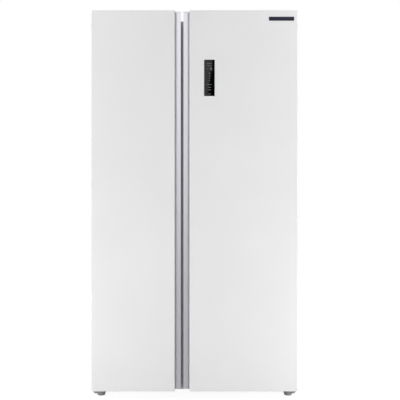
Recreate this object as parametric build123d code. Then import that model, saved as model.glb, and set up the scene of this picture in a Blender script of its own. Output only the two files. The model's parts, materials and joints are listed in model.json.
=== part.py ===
from build123d import *
import os

# Side by side refrigerator, in millimetres: front faces -Y, floor at Z = 0, middle at X = 0 and Y = 0

# Overall size and sheet metal
overall_width = 910.0
overall_height = 1730.0
overall_depth = 660.0
sheet = 1.0
touch_gap = 0.3

# Doors
door_thickness = 58.0
door_bottom = 47.0
left_door_width = 394.0
door_gap = 12.0
door_edge_radius = 3.0
gasket_gap = 12.0
cap_rim = 4.0
cap_plug = 14.0
cap_round = 1.2
boss_length = 60.0
boss_height = 36.0
liner_wall = 2.0

# Full height grip recess along the free edge of each door
recess_width = 26.5
recess_depth = 26.0
lip_thickness = 6.0
grip_undercut = 12.0
grip_radius = 6.0
grip_slope = 8.0
grip_rise = 3.0
grip_end_gap = 4.0
handle_wall = 1.8

# Hinges
hinge_from_side = 18.0
hinge_from_front = 30.0
pin_radius = 5.0
pin_clearance = 0.05
pin_end_gap = 2.0
bush_length = 30.0
bush_radius = 8.0
bush_flange_radius = 11.0
bush_floor = 3.0
hinge_plate = 4.0
hinge_plate_width = 62.0
hinge_plate_depth = 80.0
hinge_setback = 4.0
eye_radius = 11.0
neck_width = 14.0
pocket_width = 42.0
pocket_front_lip = 10.0
pocket_clearance = 3.0
bracket_plate = 6.0
bracket_flange = 3.0
bracket_flange_height = 28.0
bracket_end_radius = 14.0
bracket_width = 50.0
bracket_bevel_width = 10.0
bracket_bevel_land = 1.0
cover_wall = 2.0
cover_height = 26.0
cover_margin = 2.0
screw_radius = 2.5
screw_head_radius = 5.0
screw_head_height = 2.5

# Gaskets: base strip, neck and magnet bulb
gasket_width = 16.0
gasket_base = 3.0
gasket_neck_inset = 4.0
gasket_neck_height = 3.5
gasket_bulb_inset = 1.0
gasket_free_inset = 5.0
gasket_end_inset = 20.0
gasket_top_drop = 8.0

# Cabinet shell
case_inset = 2.0
case_bottom = 40.0
case_top_drop = 32.0
case_bend = 5.0
side_wall = 50.0
top_wall = 55.0
bottom_wall = 55.0
back_wall = 65.0
mullion_width = 60.0
liner_flange = 10.0
liner_round = 18.0
machine_depth = 170.0
machine_height = 200.0
step_wall = 50.0

# Inside fittings
shelf_glass = 5.0
shelf_front_inset = 118.0
shelf_side_gap = 1.0
shelf_trim_depth = 10.0
shelf_trim_height = 18.0
shelf_ledge = 6.0
freezer_shelf_count = 3
fridge_shelf_count = 4
upper_drawer_height = 178.0
drawer_wall = 3.0
drawer_floor_gap = 9.0
drawer_top_gap = 2.0
drawer_back_gap = 14.0
drawer_rim_drop = 16.0
drawer_rim = 3.0
drawer_rim_start = 25.0
drawer_rim_gap = 1.0
drawer_corner_radius = 12.0
runner_width = 8.0
runner_height = 10.0
runner_gap = 1.0
lamp_length = 140.0
lamp_width = 40.0
lamp_height = 7.0
lamp_from_front = 90.0

# Door liner ribs and bins
rib_reach = 20.0
rib_clearance = 8.0
rib_end_clearance = 15.0
rib_hinge_width = 16.0
rib_free_width = 25.0
rib_free_clearance = 12.0
rib_round = 4.0
bin_depth = 112.0
bin_wall = 2.5
bin_height = 105.0
bin_corner_radius = 14.0
bin_count = 4
bin_first_gap = 30.0

# Display and badge on the right door
display_width = 46.8
display_height = 160.3
display_thickness = 4.0
display_from_free_edge = 91.6
display_from_top = 218.0
display_gap = 0.2
display_corner = 1.5
badge_width = 111.0
badge_height = 17.5
badge_thickness = 1.2
badge_from_side = 15.0
badge_from_top = 28.5
badge_corner = 2.0

# Freezer cooling parts
evaporator_cover_gap = 58.0
evaporator_cover_wall = 2.0
evaporator_width = 230.0
evaporator_depth = 34.0
evaporator_height = 330.0
evaporator_lift = 300.0
evaporator_fin = 1.0
evaporator_fin_pitch = 11.5
evaporator_tube_radius = 4.0
evaporator_rows = 8
evaporator_fan_lift = 820.0
evaporator_fan_radius = 52.0
cover_slot_height = 8.0
cover_slot_pitch = 18.0
cover_slot_count = 6
cover_slot_width = 150.0
duct_width = 140.0
duct_depth = 15.0
duct_top_gap = 70.0
duct_arm_height = 62.0
duct_slot_width = 80.0
duct_slot_height = 10.0
duct_slot_depth = 6.0
sleeve_height = 50.0
sleeve_depth = 12.0
sleeve_wall = 1.5
sleeve_from_top = 101.0

# Machine room
base_plate = 2.0
cheek = 1.5
rear_cover_inset = 5.0
vent_width = 150.0
vent_height = 6.0
vent_pitch = 14.0
vent_rows = 8
vent_from_middle = 215.0
vent_lift = 50.0
compressor_x = 150.0
compressor_radius = 70.0
compressor_height = 146.0
compressor_round = 28.0
compressor_foot = 3.0
compressor_foot_x = 180.0
compressor_foot_y = 120.0
grommet_radius = 11.0
grommet_height = 14.0
grommet_inset = 14.0
tube_radius = 4.0
tube_bend = 12.0
suction_offset = 25.0
condenser_left = -310.0
condenser_length = 180.0
condenser_rows = 6
condenser_pitch = 22.0
condenser_layers = 3
condenser_layer_pitch = 34.0
condenser_tube_radius = 3.0
condenser_end_plate = 2.0
condenser_lift = 20.0
condenser_stub = 24.0
fan_hub_radius = 14.0
fan_hub_length = 16.0
fan_blade = 2.0
fan_blade_count = 5
fan_blade_chord = 26.0
fan_blade_pitch_angle = 28.0
condenser_fan_radius = 60.0
condenser_fan_x = -80.0
shaft_radius = 3.0
shaft_clearance = 0.05
motor_radius = 25.0
motor_length = 34.0
motor_fan_gap = 4.0
motor_bracket = 3.0
motor_bracket_width = 40.0
pan_length = 90.0
pan_height = 36.0
pan_wall = 2.0
pan_side_gap = 12.0
control_thickness = 42.0
control_height = 120.0
inlet_from_side = 125.0
inlet_z = 95.0
inlet_flange_radius = 12.0
inlet_flange = 3.0
inlet_body_radius = 8.0
inlet_body_length = 12.0
inlet_bore_radius = 4.0

# Feet and rear rollers
rail_depth = 60.0
rail_height = 11.0
rail_setback = 24.0
rail_length = 220.0
foot_from_side = 27.0
foot_radius = 22.0
foot_tip_radius = 17.5
foot_tip_height = 2.0
foot_taper_top = 13.0
foot_rail_gap = 3.0
stud_radius = 5.0
stud_clearance = 0.05
stud_end_gap = 0.5
roller_radius = 18.0
roller_width = 22.0
roller_from_side = 55.0
roller_from_back = 45.0
roller_side_gap = 0.3
axle_radius = 4.0
axle_clearance = 0.05
ear_thickness = 3.0
ear_half_length = 13.0

# Places worked out from the sizes above
half_width = overall_width / 2
inlet_x = half_width - inlet_from_side
door_front_y = -overall_depth / 2 + badge_thickness
door_back_y = door_front_y + door_thickness
case_front_y = door_back_y + gasket_gap
case_back_y = overall_depth / 2
case_half = half_width - case_inset
case_top = overall_height - case_top_drop
inner_half = case_half - sheet
hinge_x = half_width - hinge_from_side
hinge_y = door_front_y + hinge_from_front
right_door_width = overall_width - left_door_width - door_gap
gap_middle_x = -half_width + left_door_width + door_gap / 2
freezer_left = -case_half + side_wall
freezer_right = gap_middle_x - mullion_width / 2
fridge_left = gap_middle_x + mullion_width / 2
fridge_right = case_half - side_wall
floor_z = case_bottom + bottom_wall
ceiling_z = case_top - top_wall
inside_back_y = case_back_y - back_wall
machine_front_y = case_back_y - machine_depth
machine_top = case_bottom + machine_height
step_y = machine_front_y - step_wall
step_top = machine_top + step_wall
shelf_front_y = case_front_y + shelf_front_inset
evaporator_cover_y = inside_back_y - evaporator_cover_gap
divider_top = step_top + shelf_glass + touch_gap
upper_drawer_bottom = divider_top + drawer_floor_gap
drawer_shelf_top = upper_drawer_bottom + upper_drawer_height + drawer_top_gap + shelf_trim_height
lower_drawer_bottom = floor_z + drawer_floor_gap
lower_drawer_height = divider_top - shelf_trim_height - drawer_top_gap - lower_drawer_bottom
lower_drawer_back = step_y - drawer_back_gap
pocket_floor = case_top - pocket_clearance
rib_end = door_thickness + gasket_gap + rib_reach
rib_bottom = floor_z + rib_end_clearance
rib_top = ceiling_z - rib_end_clearance
base_top = case_bottom + base_plate
machine_back_y = case_back_y - rear_cover_inset - sheet
machine_middle_y = (machine_front_y + machine_back_y) / 2

BASE = (Align.CENTER, Align.CENTER, Align.MIN)
CORNER = (Align.MIN, Align.MIN, Align.MIN)


def block(x0, x1, y0, y1, z0, z1):
    """Box between two corners."""
    return Pos(x0, y0, z0) * Box(x1 - x0, y1 - y0, z1 - z0, align=CORNER)


def post(x, y, z0, z1, radius):
    """Upright cylinder."""
    return Pos(x, y, z0) * Cylinder(radius, z1 - z0, align=BASE)


def rod_x(x0, x1, y, z, radius):
    """Cylinder along X."""
    return Pos(x0, y, z) * Rot(0, 90, 0) * Cylinder(radius, x1 - x0, align=BASE)


def rod_y(x, y0, y1, z, radius):
    """Cylinder along Y."""
    return Pos(x, y0, z) * Rot(-90, 0, 0) * Cylinder(radius, y1 - y0, align=BASE)


def rect(u0, u1, v0, v1):
    """Flat rectangle in plan."""
    return Polygon((u0, v0), (u1, v0), (u1, v1), (u0, v1))


def tube(points, radius, bend):
    """Round tube along straight runs joined by arcs."""
    path = FilletPolyline(*points, radius=bend)
    return sweep((path ^ 0) * Circle(radius), path)


def right_hand(shape):
    """The same piece on the other side of the cabinet."""
    return mirror(shape, about=Plane.YZ)


def save(name, *shapes):
    """Write one node, as one solid or a group of separate solids."""
    solids = [solid for shape in shapes for solid in shape.solids()]
    whole = solids[0] if len(solids) == 1 else Compound(solids)
    export_step(whole, f"parts/{name}.step")


# Doors, drawn for the left side: u runs from the hinged side, v from the front face


def door_prism(face, z0, z1):
    return Pos(-half_width, door_front_y, z0) * extrude(face, amount=z1 - z0)


def door_block(u0, u1, v0, v1, z0, z1):
    return door_prism(rect(u0, u1, v0, v1), z0, z1)


def skin_outline(width):
    """Front panel from the hinged side to the lip of the grip, with rounded front edges."""
    outline = rect(0, width - recess_width, 0, door_thickness)
    return fillet(outline.vertices().group_by(Axis.Y)[0], door_edge_radius)


def core_end(width):
    """Where the full thickness of the door ends and the grip begins."""
    return width - recess_width - grip_undercut - handle_wall


def hinge_pocket(z0, z1):
    """Space in the door's upper corner where the hinge arm swings."""
    return door_block(-1, pocket_width, pocket_front_lip, door_thickness + 1, z0, z1)


def door_skin(width):
    outline = skin_outline(width)
    strip = outline - offset(outline, -sheet)
    strip -= rect(sheet, width, lip_thickness, door_thickness + 1)
    skin = door_prism(strip, door_bottom + cap_rim, overall_height - cap_rim)
    return skin - hinge_pocket(pocket_floor, overall_height)


def door_handle(width):
    """Extruded grip: undercut behind the lip, floor that rises towards the gap, and the door's free side."""
    lip_u = width - recess_width
    body = rect(core_end(width), width, lip_thickness - handle_wall, recess_depth + handle_wall)
    body += rect(width - handle_wall, width, recess_depth, door_thickness)
    raised = recess_depth - grip_rise
    hollow = Polygon(
        (lip_u - grip_undercut, lip_thickness),
        (width + 1, lip_thickness),
        (width + 1, raised),
        (lip_u + grip_slope, raised),
        (lip_u, recess_depth),
        (lip_u - grip_undercut, recess_depth),
    )
    hollow = fillet(hollow.vertices().group_by(Axis.X)[0], grip_radius)
    mouth = rect(lip_u - sheet, width + 1, 0, lip_thickness)
    low = door_bottom + cap_rim + grip_end_gap
    return door_prism(body - hollow - mouth, low, overall_height - cap_rim)


def behind_grip(width):
    """Section of the space between the grip's floor and the inner liner."""
    back = door_thickness - liner_wall
    return rect(core_end(width), width - handle_wall, recess_depth + handle_wall, back)


def rib_bars(width, free_wall):
    """The four bars of the rib that frames the inner face: (u0, u1, z0, z1)."""
    u0 = case_inset + side_wall + rib_clearance
    u1 = free_wall - rib_free_clearance
    return [
        (u0, u0 + rib_hinge_width, rib_bottom, rib_top),
        (u1 - rib_free_width, u1, rib_bottom, rib_top),
        (u0 + rib_hinge_width, u1 - rib_free_width, rib_bottom, rib_bottom + rib_hinge_width),
        (u0 + rib_hinge_width, u1 - rib_free_width, rib_top - rib_hinge_width, rib_top),
    ]


def rib_cores(width, free_wall):
    """Foam inside each bar of the rib."""
    v0 = door_thickness - liner_wall
    v1 = rib_end - liner_wall
    wall = liner_wall
    return [
        door_block(u0 + wall, u1 - wall, v0, v1, z0 + wall, z1 - wall)
        for u0, u1, z0, z1 in rib_bars(width, free_wall)
    ]


def door_foam(width, free_wall):
    """Foam core in plain slabs, round the hinge bosses and the grip."""
    core = offset(skin_outline(width), -sheet)
    back = door_thickness - liner_wall
    low = door_bottom + cap_rim
    high = overall_height - cap_rim
    corner = core & rect(0, boss_length, 0, back)
    middle = core & rect(boss_length, core_end(width), 0, back)
    lip = core & rect(core_end(width), width - recess_width, 0, lip_thickness - handle_wall)
    return [
        door_prism(corner, low + boss_height, pocket_floor - boss_height),
        door_prism(middle, low + cap_plug, high - cap_plug),
        door_prism(lip, low, high),
        door_prism(behind_grip(width), low + cap_plug, high),
    ] + rib_cores(width, free_wall)


def door_liner(width, free_wall):
    """Inner face with a hollow rib that frames the bins."""
    low = door_bottom + cap_rim
    high = overall_height - cap_rim
    back = door_thickness - liner_wall
    liner = door_block(sheet, width - handle_wall, back, door_thickness, low, high)
    bars = [door_block(u0, u1, back, rib_end, z0, z1) for u0, u1, z0, z1 in rib_bars(width, free_wall)]
    rib = bars[0] + bars[1] + bars[2] + bars[3]
    liner += fillet(rib.edges().group_by(Axis.Y)[-1], rib_round)
    for core in rib_cores(width, free_wall):
        liner -= core
    return liner - hinge_pocket(pocket_floor, overall_height)


def door_caps(width):
    """Top and bottom end caps, each with a rim, a shallow plug and a boss for the hinge bush.

    The bottom rim stops short of the grip, so that the recess is open below.
    """
    outline = rect(0, width, 0, door_thickness)
    outline -= rect(width - recess_width, width + 1, -1, recess_depth - grip_rise)
    outline = fillet(outline.vertices().group_by(Axis.Y)[0], door_edge_radius)
    core = offset(skin_outline(width), -sheet)
    back = door_thickness - liner_wall
    plug = core & rect(boss_length, core_end(width), 0, back)
    boss = core & rect(0, boss_length, 0, back)
    low = door_bottom + cap_rim
    high = overall_height - cap_rim
    top = door_prism(outline, high, overall_height)
    top = fillet(top.edges().group_by(Axis.Z)[-1], cap_round)
    top += door_prism(plug, high - cap_plug, high)
    top += door_prism(boss, pocket_floor - boss_height, high)
    top -= hinge_pocket(pocket_floor, overall_height + 1)
    top -= post(-hinge_x, hinge_y, pocket_floor - bush_length, pocket_floor, bush_radius)
    short = outline - rect(width - recess_width, width + 1, -1, door_thickness + 1)
    bottom = door_prism(short, door_bottom, low)
    bottom = fillet(bottom.edges().group_by(Axis.Z)[0], cap_round)
    bottom += door_prism(plug, low, low + cap_plug)
    bottom += door_prism(behind_grip(width), low, low + cap_plug)
    bottom += door_prism(boss, low, low + boss_height)
    bottom -= post(-hinge_x, hinge_y, door_bottom, door_bottom + bush_length, bush_radius)
    return [top, bottom]


def door_bushes():
    """Plain bearings for the hinge pins; the lower one has the flange that carries the door."""
    bore = pin_radius + pin_clearance
    top = post(-hinge_x, hinge_y, pocket_floor - bush_length, pocket_floor, bush_radius)
    top -= post(-hinge_x, hinge_y, pocket_floor - bush_length + bush_floor, pocket_floor, bore)
    low = case_bottom + touch_gap
    bottom = post(-hinge_x, hinge_y, door_bottom, door_bottom + bush_length, bush_radius)
    bottom += post(-hinge_x, hinge_y, low, door_bottom, bush_flange_radius)
    bottom -= post(-hinge_x, hinge_y, low, door_bottom + bush_length - bush_floor, bore)
    return [top, bottom]


def gasket_ring(width, inset, v0, v1):
    """One layer of the seal, set in from both edges of its strip."""
    u0 = hinge_from_side + inset
    u1 = width - gasket_free_inset - inset
    z0 = door_bottom + gasket_end_inset + inset
    z1 = case_top - gasket_top_drop - inset
    strip = gasket_width - 2 * inset
    outer = door_block(u0, u1, v0, v1, z0, z1)
    return outer - door_block(u0 + strip, u1 - strip, v0, v1, z0 + strip, z1 - strip)


def door_gasket(width):
    base_end = door_thickness + gasket_base
    neck_end = base_end + gasket_neck_height
    seal = gasket_ring(width, 0, door_thickness, base_end)
    seal += gasket_ring(width, gasket_neck_inset, base_end, neck_end)
    seal += gasket_ring(width, gasket_bulb_inset, neck_end, door_thickness + gasket_gap - touch_gap)
    return seal


def door_bins(width, free_wall):
    """Open bins between the upright bars of the rib."""
    hinge_bar, free_bar = rib_bars(width, free_wall)[:2]
    outline = rect(hinge_bar[1], free_bar[0], door_thickness, door_thickness + bin_depth)
    outline = fillet(outline.vertices().group_by(Axis.Y)[-1], bin_corner_radius)
    hollow = offset(outline, -bin_wall)
    low = rib_bottom + rib_hinge_width + bin_first_gap
    pitch = (rib_top - rib_hinge_width - low) / bin_count
    bins = []
    for index in range(bin_count):
        z0 = low + index * pitch
        shell = door_prism(outline, z0, z0 + bin_height)
        bins.append(shell - door_prism(hollow, z0 + bin_wall, z0 + bin_height + 1))
    return bins


# Hinges, drawn for the left side


def top_hinge():
    """Plate on the cabinet top with an arm, an eye and a pin that points down."""
    z0 = case_top
    z1 = case_top + hinge_plate
    back_y = case_front_y + hinge_setback
    hinge = block(-case_half + cover_margin + cover_wall, -case_half + hinge_plate_width,
                  back_y, back_y + hinge_plate_depth, z0, z1)
    hinge += block(-hinge_x - neck_width / 2, -hinge_x + neck_width / 2, hinge_y, back_y, z0, z1)
    hinge += post(-hinge_x, hinge_y, z0, z1, eye_radius)
    pin_end = pocket_floor - bush_length + bush_floor + pin_end_gap
    hinge += post(-hinge_x, hinge_y, pin_end, z0, pin_radius)
    for x, y in top_screw_places():
        hinge -= post(x, y, z0, z1, screw_radius)
    return hinge


def top_screw_places():
    """Two screws across the plate at the front and one behind."""
    left = -case_half + cover_margin + cover_wall
    right = -case_half + hinge_plate_width
    front = case_front_y + hinge_setback
    quarter = hinge_plate_depth / 4
    return [
        (left + quarter, front + quarter),
        (right - quarter, front + quarter),
        ((left + right) / 2, front + hinge_plate_depth - quarter),
    ]


def bottom_hinge():
    """Bracket under the cabinet, bevelled at its outer end, with a pin that points up."""
    z1 = case_bottom
    z0 = case_bottom - bracket_plate
    left = -hinge_x - bracket_end_radius
    right = -hinge_x + bracket_end_radius
    flange_y = case_front_y - bracket_flange
    hinge = block(left, right, hinge_y, case_front_y + rail_setback, z0, z1)
    hinge += post(-hinge_x, hinge_y, z0, z1, bracket_end_radius)
    hinge += block(left, left + bracket_width, flange_y, case_front_y, z0, z0 + bracket_flange_height)
    pin_top = door_bottom + bush_length - bush_floor - pin_end_gap
    hinge += post(-hinge_x, hinge_y, z0, pin_top, pin_radius)
    for x, z in bottom_screw_places():
        hinge -= rod_y(x, flange_y, case_front_y, z, screw_radius)
    bevel = Polygon((left, z0), (left + bracket_bevel_width, z0), (left, z1 - bracket_bevel_land))
    return hinge - extrude(Plane.XZ * bevel, amount=bracket_end_radius - hinge_y)


def bottom_screw_places():
    """Two screws side by side in the bracket's upright flange."""
    left = -hinge_x - bracket_end_radius
    z = case_bottom + (bracket_flange_height - bracket_plate) / 2
    return [(left + bracket_width / 4, z), (left + bracket_width * 3 / 4, z)]


def hinge_screws():
    screws = []
    for x, y in top_screw_places():
        top = case_top + hinge_plate
        screw = post(x, y, case_top, top, screw_radius)
        screws.append(screw + post(x, y, top, top + screw_head_height, screw_head_radius))
    for x, z in bottom_screw_places():
        front = case_front_y - bracket_flange
        screw = rod_y(x, front, case_front_y, z, screw_radius)
        screws.append(screw + rod_y(x, front - screw_head_height, front, z, screw_head_radius))
    return screws


def hinge_cover():
    """Moulded cap over the hinge plate, open below and notched for the arm."""
    x0 = -case_half + cover_margin
    x1 = -case_half + hinge_plate_width + cover_wall + touch_gap
    y0 = case_front_y + hinge_setback - cover_wall - touch_gap
    y1 = case_front_y + hinge_setback + hinge_plate_depth + cover_wall + touch_gap
    outer = block(x0, x1, y0, y1, case_top, case_top + cover_height)
    outer = fillet(outer.edges().group_by(Axis.Z)[-1], cover_wall * 2)
    inner = block(x0 + cover_wall - touch_gap, x1 - cover_wall, y0 + cover_wall, y1 - cover_wall,
                  case_top, case_top + cover_height - cover_wall)
    half = neck_width / 2 + touch_gap
    notch = block(-hinge_x - half, -hinge_x + half, y0, y0 + cover_wall,
                  case_top, case_top + hinge_plate + touch_gap)
    return outer - inner - notch


# Cabinet shell


def outer_case():
    """Wrapped sheet: two sides, the top and the folded front flange."""
    edge_z = ceiling_z + liner_flange
    outer = block(-case_half, case_half, case_front_y, case_back_y, case_bottom, case_top)
    outer = bent_top(outer, case_bend)
    flange_y = case_front_y + sheet
    case = outer - case_hollow()
    case += block(-inner_half, freezer_left - liner_flange, case_front_y, flange_y,
                  case_bottom, case_top - sheet)
    case += block(fridge_right + liner_flange, inner_half, case_front_y, flange_y,
                  case_bottom, case_top - sheet)
    case += block(-inner_half, inner_half, case_front_y, flange_y, edge_z, case_top - sheet)
    return case & outer


def bent_top(shape, radius):
    """Round the two long upper edges, where the sheet is bent."""
    return fillet(shape.edges().filter_by(Axis.Y).group_by(Axis.Z)[-1], radius)


def case_hollow():
    """Space inside the wrapped sheet."""
    hollow = block(-inner_half, inner_half, case_front_y, case_back_y, case_bottom, case_top - sheet)
    return bent_top(hollow, case_bend - sheet)


def bottom_panel():
    """Bent sheet under the foam: floor, riser and roof of the machine room, and front flange."""
    panel = block(-inner_half, inner_half, case_front_y + sheet, machine_front_y,
                  case_bottom, case_bottom + sheet)
    panel += block(-inner_half, inner_half, machine_front_y - sheet, machine_front_y,
                   case_bottom, machine_top + sheet)
    panel += block(-inner_half, inner_half, machine_front_y - sheet, case_back_y - sheet,
                   machine_top, machine_top + sheet)
    panel += block(freezer_left - liner_flange, fridge_right + liner_flange, case_front_y,
                   case_front_y + sheet, case_bottom, floor_z - liner_flange)
    return panel


def back_panel():
    panel = block(-inner_half, inner_half, case_back_y - sheet, case_back_y, machine_top, case_top - sheet)
    return panel & case_hollow()


def mullion_strip():
    return block(freezer_right + liner_flange, fridge_left - liner_flange, case_front_y,
                 case_front_y + sheet, floor_z - liner_flange, ceiling_z + liner_flange)


def sleeve_bounds():
    """Rectangle of the air passage through the mullion: (y0, y1, z0, z1)."""
    z1 = ceiling_z - sleeve_from_top + sleeve_height / 2
    y1 = inside_back_y - touch_gap
    return y1 - sleeve_depth, y1, z1 - sleeve_height, z1


def air_sleeve():
    y0, y1, z0, z1 = sleeve_bounds()
    sleeve = block(freezer_right, fridge_left, y0, y1, z0, z1)
    return sleeve - block(freezer_right, fridge_left, y0 + sleeve_wall, y1 - sleeve_wall,
                          z0 + sleeve_wall, z1 - sleeve_wall)


def cabinet_foam():
    """Foam in plain slabs between the outer sheets and the two liners."""
    front = case_front_y + sheet
    back = case_back_y - sheet
    left = freezer_left - liner_wall
    right = fridge_right + liner_wall
    low = case_bottom + sheet
    high = case_top - sheet
    shelf_low = machine_top + sheet
    shelf_high = step_top - liner_wall
    step = step_y + liner_wall
    riser = machine_front_y - sheet
    roof = ceiling_z + liner_wall
    rear = inside_back_y + liner_wall
    under = floor_z - liner_wall
    wall_left = freezer_right + liner_wall
    wall_right = fridge_left - liner_wall
    y0, y1, z0, z1 = sleeve_bounds()
    return [
        block(-inner_half, left, front, riser, low, shelf_low),
        block(-inner_half, left, front, back, shelf_low, high) & case_hollow(),
        block(right, inner_half, front, riser, low, shelf_low),
        block(right, inner_half, front, back, shelf_low, high) & case_hollow(),
        block(left, right, front, back, roof, high),
        block(left, right, front, riser, low, under),
        block(left, right, step, riser, under, shelf_low),
        block(left, right, step, back, shelf_low, shelf_high),
        block(left, right, rear, back, shelf_high, roof),
        block(wall_left, wall_right, front, step, under, shelf_high),
        block(wall_left, wall_right, front, y0, shelf_high, roof),
        block(wall_left, wall_right, y0, rear, shelf_high, z0),
        block(wall_left, wall_right, y0, rear, z1, roof),
        block(wall_left, wall_right, y1, rear, z0, z1),
    ]


def shelf_tops(count):
    """Tops of the shelves: the drawer divider, the drawer roof and evenly spaced shelves above it."""
    pitch = (ceiling_z - drawer_shelf_top) / (count + 1)
    return [divider_top] + [drawer_shelf_top + index * pitch for index in range(count + 1)]


def shelf_back(top, rear_y):
    """The divider stops at the step, the rest reach the rear fittings."""
    return (step_y if top == divider_top else rear_y) - shelf_side_gap


def cabinet_liner(x0, x1, rear_y, count, mullion_x):
    """Moulded inner box with the step over the machine room, front flange and shelf ledges."""
    wall = liner_wall
    liner = block(x0 - wall, x1 + wall, case_front_y, inside_back_y + wall, step_top - wall, ceiling_z + wall)
    liner += block(x0 - wall, x1 + wall, case_front_y, step_y + wall, floor_z - wall, step_top)
    liner += block(x0 - liner_flange, x1 + liner_flange, case_front_y, case_front_y + sheet,
                   floor_z - liner_flange, ceiling_z + liner_flange)
    upper = block(x0, x1, case_front_y, inside_back_y, step_top, ceiling_z)
    upper = fillet(upper.edges().filter_by(Axis.Y).group_by(Axis.Z)[-1], liner_round)
    lower = block(x0, x1, case_front_y, step_y, floor_z, step_top)
    lower = fillet(lower.edges().filter_by(Axis.Y).group_by(Axis.Z)[0], liner_round)
    liner -= upper + lower
    y0, y1, z0, z1 = sleeve_bounds()
    liner -= block(mullion_x - wall, mullion_x + wall, y0, y1, z0, z1)
    for top in shelf_tops(count):
        z1 = top - shelf_glass
        y1 = shelf_back(top, rear_y)
        liner += block(x0, x0 + shelf_ledge, shelf_front_y, y1, z1 - shelf_ledge, z1)
        liner += block(x1 - shelf_ledge, x1, shelf_front_y, y1, z1 - shelf_ledge, z1)
    return liner


# Inside fittings


def glass_shelves(x0, x1, rear_y, count):
    left = x0 + shelf_side_gap
    right = x1 - shelf_side_gap
    front = shelf_front_y + shelf_trim_depth
    return [
        block(left, right, front, shelf_back(top, rear_y), top - shelf_glass, top)
        for top in shelf_tops(count)
    ]


def shelf_trims(x0, x1, count):
    """Front edge profiles of the shelves above the drawers, and of the divider between them."""
    left = x0 + shelf_ledge + shelf_side_gap
    right = x1 - shelf_ledge - shelf_side_gap
    trims = []
    for top in shelf_tops(count):
        bar = block(left, right, shelf_front_y, shelf_front_y + shelf_trim_depth,
                    top - shelf_trim_height, top)
        edges = bar.edges().filter_by(Axis.X).group_by(Axis.Y)[0]
        trims.append(fillet(edges, shelf_trim_depth / 4))
    return trims


def drawer(x0, x1, back_y, z0, height):
    """Open drawer whose side rims ride on the runners."""
    left = x0 + runner_width + runner_gap
    right = x1 - runner_width - runner_gap
    outline = rect(left, right, shelf_front_y, back_y)
    outline = fillet(outline.vertices(), drawer_corner_radius)
    hollow = offset(outline, -drawer_wall)
    box = Pos(0, 0, z0) * extrude(outline, amount=height)
    rim_top = z0 + height - drawer_rim_drop
    box += block(x0 + drawer_rim_gap, x1 - drawer_rim_gap, shelf_front_y + drawer_rim_start,
                 back_y - drawer_corner_radius, rim_top - drawer_rim, rim_top)
    return box - Pos(0, 0, z0 + drawer_wall) * extrude(hollow, amount=height)


def runners(x0, x1, back_y, z0, height):
    """Rails on the liner walls just under the drawer's rims."""
    top = z0 + height - drawer_rim_drop - drawer_rim - touch_gap
    y0 = shelf_front_y + drawer_rim_start
    return [
        block(x, x + runner_width, y0, back_y, top - runner_height, top)
        for x in (x0, x1 - runner_width)
    ]


def lamp(x0, x1):
    middle = (x0 + x1) / 2
    y0 = case_front_y + lamp_from_front
    body = block(middle - lamp_length / 2, middle + lamp_length / 2, y0, y0 + lamp_width,
                 ceiling_z - lamp_height, ceiling_z)
    return fillet(body.edges().group_by(Axis.Z)[0], lamp_height / 3)


# Freezer cooling parts

freezer_middle = (freezer_left + freezer_right) / 2
fridge_middle = (fridge_left + fridge_right) / 2
evaporator_bottom = step_top + evaporator_lift
evaporator_fan_z = step_top + evaporator_fan_lift
evaporator_fan_y = evaporator_cover_y + evaporator_cover_wall + motor_fan_gap
evaporator_motor_y = evaporator_fan_y + fan_hub_length + motor_fan_gap


def evaporator():
    """Finned coil hung on the liner's back wall by its two end plates."""
    x0 = freezer_middle - evaporator_width / 2
    x1 = freezer_middle + evaporator_width / 2
    y0 = inside_back_y - evaporator_depth
    z0 = evaporator_bottom
    z1 = evaporator_bottom + evaporator_height
    middle_y = y0 + evaporator_depth / 2
    pitch = evaporator_height / evaporator_rows
    fins = int(evaporator_width / evaporator_fin_pitch) - 1
    coil = block(x0, x0 + evaporator_fin, y0, inside_back_y, z0, z1)
    coil += block(x1 - evaporator_fin, x1, y0, inside_back_y, z0, z1)
    back = inside_back_y - evaporator_tube_radius
    for index in range(fins):
        x = x0 + (index + 1) * evaporator_fin_pitch
        coil += block(x, x + evaporator_fin, y0, back, z0, z1)
    for row in range(evaporator_rows):
        coil += rod_x(x0, x1, middle_y, z0 + (row + 0.5) * pitch, evaporator_tube_radius)
    return coil


def evaporator_cover():
    """Panel in front of the coil with return slots below, outlet slots above and a fan mouth."""
    y0 = evaporator_cover_y
    y1 = y0 + evaporator_cover_wall
    cover = block(freezer_left + shelf_side_gap, freezer_right - shelf_side_gap, y0, y1, step_top, ceiling_z)
    cover = fillet(cover.edges().filter_by(Axis.Y).group_by(Axis.Z)[-1], liner_round)
    left = freezer_middle - cover_slot_width / 2
    right = freezer_middle + cover_slot_width / 2
    low = drawer_shelf_top + cover_slot_pitch
    high = ceiling_z - (cover_slot_count + 1) * cover_slot_pitch
    for start in (low, high):
        for index in range(cover_slot_count):
            z = start + index * cover_slot_pitch
            cover -= block(left, right, y0, y1, z, z + cover_slot_height)
    return cover


def air_duct():
    """Duct on the fridge's back wall, fed through the mullion, with an outlet above each shelf."""
    y0 = inside_back_y - duct_depth
    left = fridge_middle - duct_width / 2
    right = fridge_middle + duct_width / 2
    z1 = ceiling_z - duct_top_gap
    duct = block(left, right, y0, inside_back_y, drawer_shelf_top, z1)
    duct += block(fridge_left, left, y0, inside_back_y, z1 - duct_arm_height, z1)
    s0, s1, t0, t1 = sleeve_bounds()
    duct -= block(fridge_left, fridge_middle, s0 + sleeve_wall, s1 - sleeve_wall,
                  t0 + sleeve_wall, t1 - sleeve_wall)
    tops = shelf_tops(fridge_shelf_count)
    rise = (tops[2] - tops[1]) / 2
    half = duct_slot_width / 2
    for top in tops[1:-1]:
        z = top + rise
        duct -= block(fridge_middle - half, fridge_middle + half, y0, y0 + duct_slot_depth,
                      z, z + duct_slot_height)
    return duct


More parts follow.
